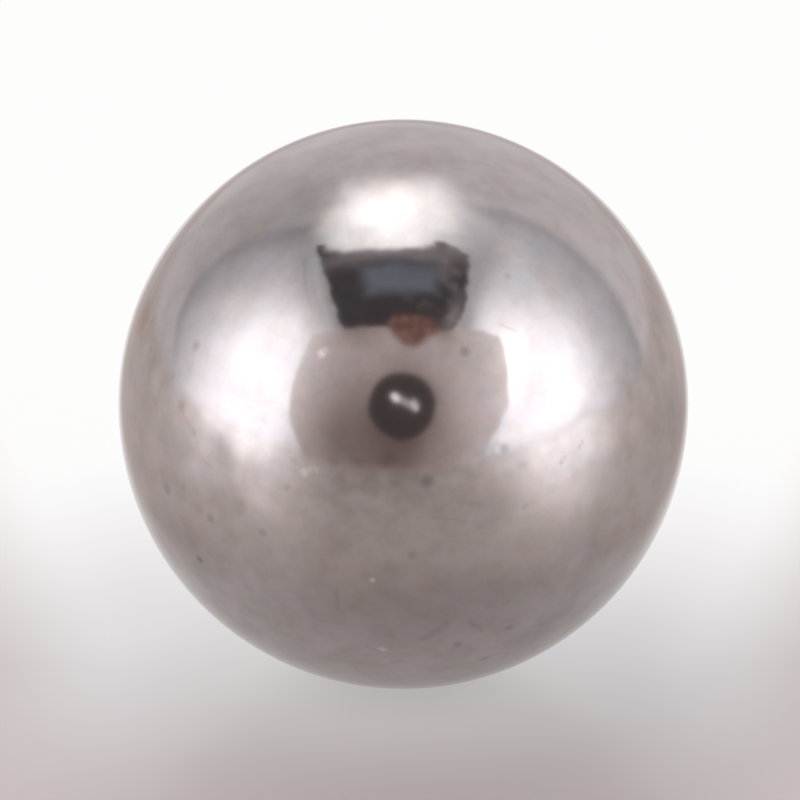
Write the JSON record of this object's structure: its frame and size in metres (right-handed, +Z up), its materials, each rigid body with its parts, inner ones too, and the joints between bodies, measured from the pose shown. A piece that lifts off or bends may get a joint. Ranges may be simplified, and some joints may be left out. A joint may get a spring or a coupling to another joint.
{
  "type": "steel ball",
  "caption": "Solid polished steel ball, a true sphere with a mirror finish, that rolls in a groove or sits in a cup or ring.",
  "frame": {"origin": "the centre of the ball", "axes": "+Z up, through the point that the ball rests on; the ball is round about every axis through its centre, and -Y faces the viewer of the front view"},
  "size_m": [0.0126, 0.0126, 0.0126],
  "materials": {
    "polished_steel": "polished"
  },
  "bodies": {
    "root": {"ball": "polished_steel"}
  },
  "joints": []
}
